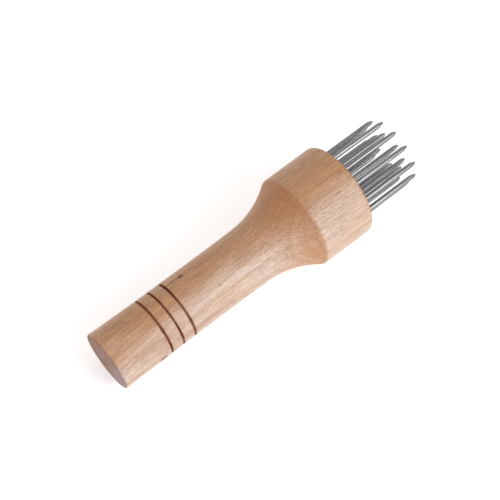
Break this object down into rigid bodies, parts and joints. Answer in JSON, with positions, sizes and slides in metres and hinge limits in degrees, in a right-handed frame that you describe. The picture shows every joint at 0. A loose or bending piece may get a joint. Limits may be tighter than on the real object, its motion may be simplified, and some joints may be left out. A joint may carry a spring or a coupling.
{
  "type": "needle pricker",
  "caption": "Turned wooden handle with a wide round head that holds a bundle of pointed steel needles, for pricking meat, skin or capped comb.",
  "frame": {"origin": "centre of the flat butt of the handle", "axes": "+X runs along the tool's axis from the butt to the needle points; +Y and +Z are across it, and the handle is the same all round"},
  "size_m": [0.1788, 0.0504, 0.0504],
  "materials": {
    "wood": "sanded and lightly oiled, straight grain along the handle",
    "steel": "drawn wire, dull grey, with ground points"
  },
  "bodies": {
    "root": {"handle": "wood", "needle_outer_01": "steel", "needle_outer_02": "steel", "needle_outer_03": "steel", "needle_outer_04": "steel", "needle_outer_05": "steel", "needle_outer_06": "steel", "needle_outer_07": "steel", "needle_outer_08": "steel", "needle_outer_09": "steel", "needle_outer_10": "steel", "needle_outer_11": "steel", "needle_outer_12": "steel", "needle_inner_01": "steel", "needle_inner_02": "steel", "needle_inner_03": "steel", "needle_inner_04": "steel", "needle_inner_05": "steel", "needle_inner_06": "steel", "needle_inner_07": "steel", "needle_centre_01": "steel"}
  },
  "joints": []
}
